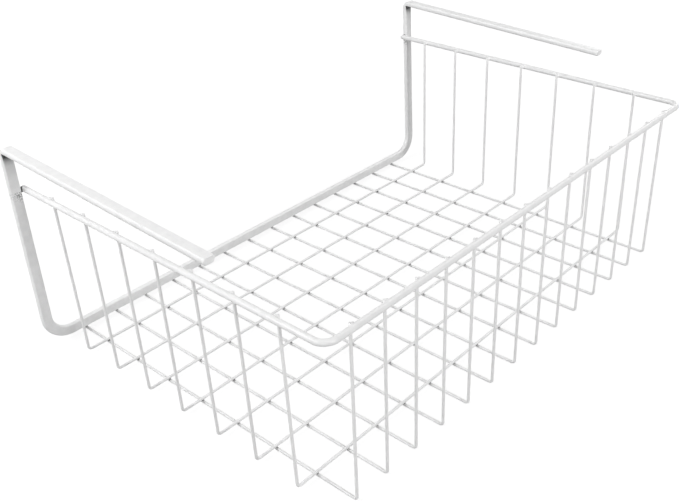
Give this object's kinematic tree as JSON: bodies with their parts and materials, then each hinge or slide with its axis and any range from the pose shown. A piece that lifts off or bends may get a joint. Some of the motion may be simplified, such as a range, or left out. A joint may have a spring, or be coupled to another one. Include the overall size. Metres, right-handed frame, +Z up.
{
  "type": "under shelf basket",
  "caption": "White coated wire basket with an open front that hangs below a shelf on arms sliding over the board.",
  "frame": {"origin": "middle of the bounding box in plan, at the height of its lowest point, the underside of the floor wires", "axes": "+X across the basket along its long side, +Y from the open front to the rear wall, +Z up as it hangs"},
  "size_m": [0.3908, 0.2658, 0.1496],
  "materials": {
    "white_powder_coat": "smooth satin white powder coat over steel wire"
  },
  "bodies": {
    "root": {"hanger_frame": "white_powder_coat", "rim_wire": "white_powder_coat", "cross_wire_1": "white_powder_coat", "cross_wire_2": "white_powder_coat", "cross_wire_3": "white_powder_coat", "cross_wire_4": "white_powder_coat", "cross_wire_5": "white_powder_coat", "cross_wire_6": "white_powder_coat", "cross_wire_7": "white_powder_coat", "deep_wire_1": "white_powder_coat", "deep_wire_2": "white_powder_coat", "deep_wire_3": "white_powder_coat", "deep_wire_4": "white_powder_coat", "deep_wire_5": "white_powder_coat", "deep_wire_6": "white_powder_coat", "deep_wire_7": "white_powder_coat", "deep_wire_8": "white_powder_coat", "deep_wire_9": "white_powder_coat", "deep_wire_10": "white_powder_coat", "deep_wire_11": "white_powder_coat", "deep_wire_12": "white_powder_coat", "deep_wire_13": "white_powder_coat", "deep_wire_14": "white_powder_coat"}
  },
  "joints": []
}
